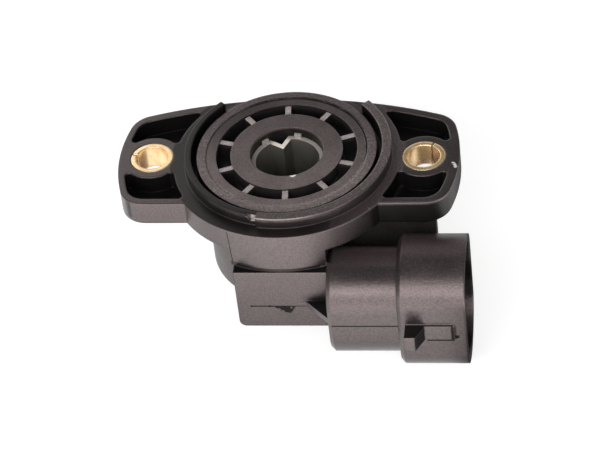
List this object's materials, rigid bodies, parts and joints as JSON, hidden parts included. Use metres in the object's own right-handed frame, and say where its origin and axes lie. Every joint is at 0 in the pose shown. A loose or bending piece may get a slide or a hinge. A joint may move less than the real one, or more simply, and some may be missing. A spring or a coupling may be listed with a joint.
{
  "type": "throttle position sensor",
  "caption": "Rotary sensor with a bolt-on flange, a heart-shaped drive socket that turns in a spoked bearing cover, and an oval plug connector on one side.",
  "frame": {"origin": "on the rotor axis, in the plane of the flange's mounting face", "axes": "+X along the line of the two bolt holes, towards the plug mouth; +Y away from the terminal box; +Z out of the mounting face, along the rotor axis"},
  "size_m": [0.0592, 0.0443, 0.0293],
  "materials": {
    "housing_plastic": "satin moulded, fine texture",
    "cover_plastic": "satin moulded",
    "rotor_plastic": "satin, glass filled",
    "sleeve_brass": "bright rolled strip",
    "terminal_tin": "tin plated",
    "board": "laminate",
    "carbon_print": "carbon ink",
    "silver_print": "silver ink",
    "wiper_bronze": "rolled bronze",
    "seal_rubber": "matte",
    "washer_plastic": "satin"
  },
  "bodies": {
    "sensor_body": {"housing": "housing_plastic", "bearing_cover": "cover_plastic", "sleeve_left": "sleeve_brass", "sleeve_right": "sleeve_brass", "terminal_supply": "terminal_tin", "terminal_signal": "terminal_tin", "terminal_ground": "terminal_tin", "element_board": "board", "resistor_track": "carbon_print", "collector_track": "carbon_print", "silver_leads": "silver_print", "rotor_seal": "seal_rubber", "thrust_washer": "washer_plastic"},
    "rotor_body": {"rotor": "rotor_plastic", "wiper": "wiper_bronze"}
  },
  "joints": [
    {"name": "rotor_turn", "type": "hinge", "parent": "sensor_body", "child": "rotor_body", "pos_m": [0, 0, 0], "axis": [0, 0, 1], "range_deg": [0, 105]}
  ]
}
